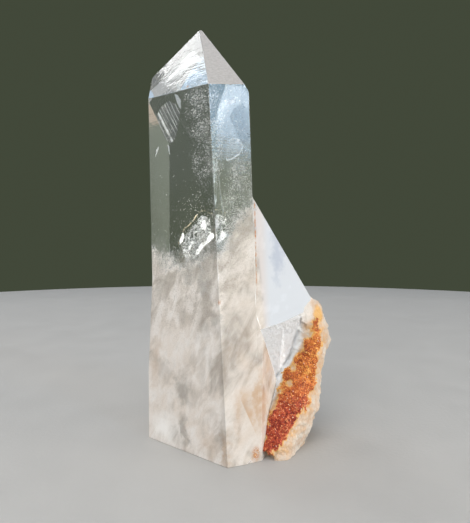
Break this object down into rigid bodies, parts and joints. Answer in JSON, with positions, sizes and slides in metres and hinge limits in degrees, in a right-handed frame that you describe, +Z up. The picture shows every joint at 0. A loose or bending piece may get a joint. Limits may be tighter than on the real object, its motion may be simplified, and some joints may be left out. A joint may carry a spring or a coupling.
{
  "type": "quartz crystal specimen",
  "caption": "Single clear quartz point with a smaller crystal grown into its right flank and a raw, iron stained foot; stands upright on a flat base.",
  "frame": {"origin": "middle of the bounding box's bottom face, on the surface that the specimen stands on", "axes": "+Z up along the crystal towards its tip, -Y towards the viewer, +X towards the raw lump on the right"},
  "size_m": [0.0472, 0.0366, 0.105],
  "materials": {
    "quartz": "polished crystal faces, milky below and rough where raw"
  },
  "bodies": {
    "root": {"quartz_crystal": "quartz"}
  },
  "joints": []
}
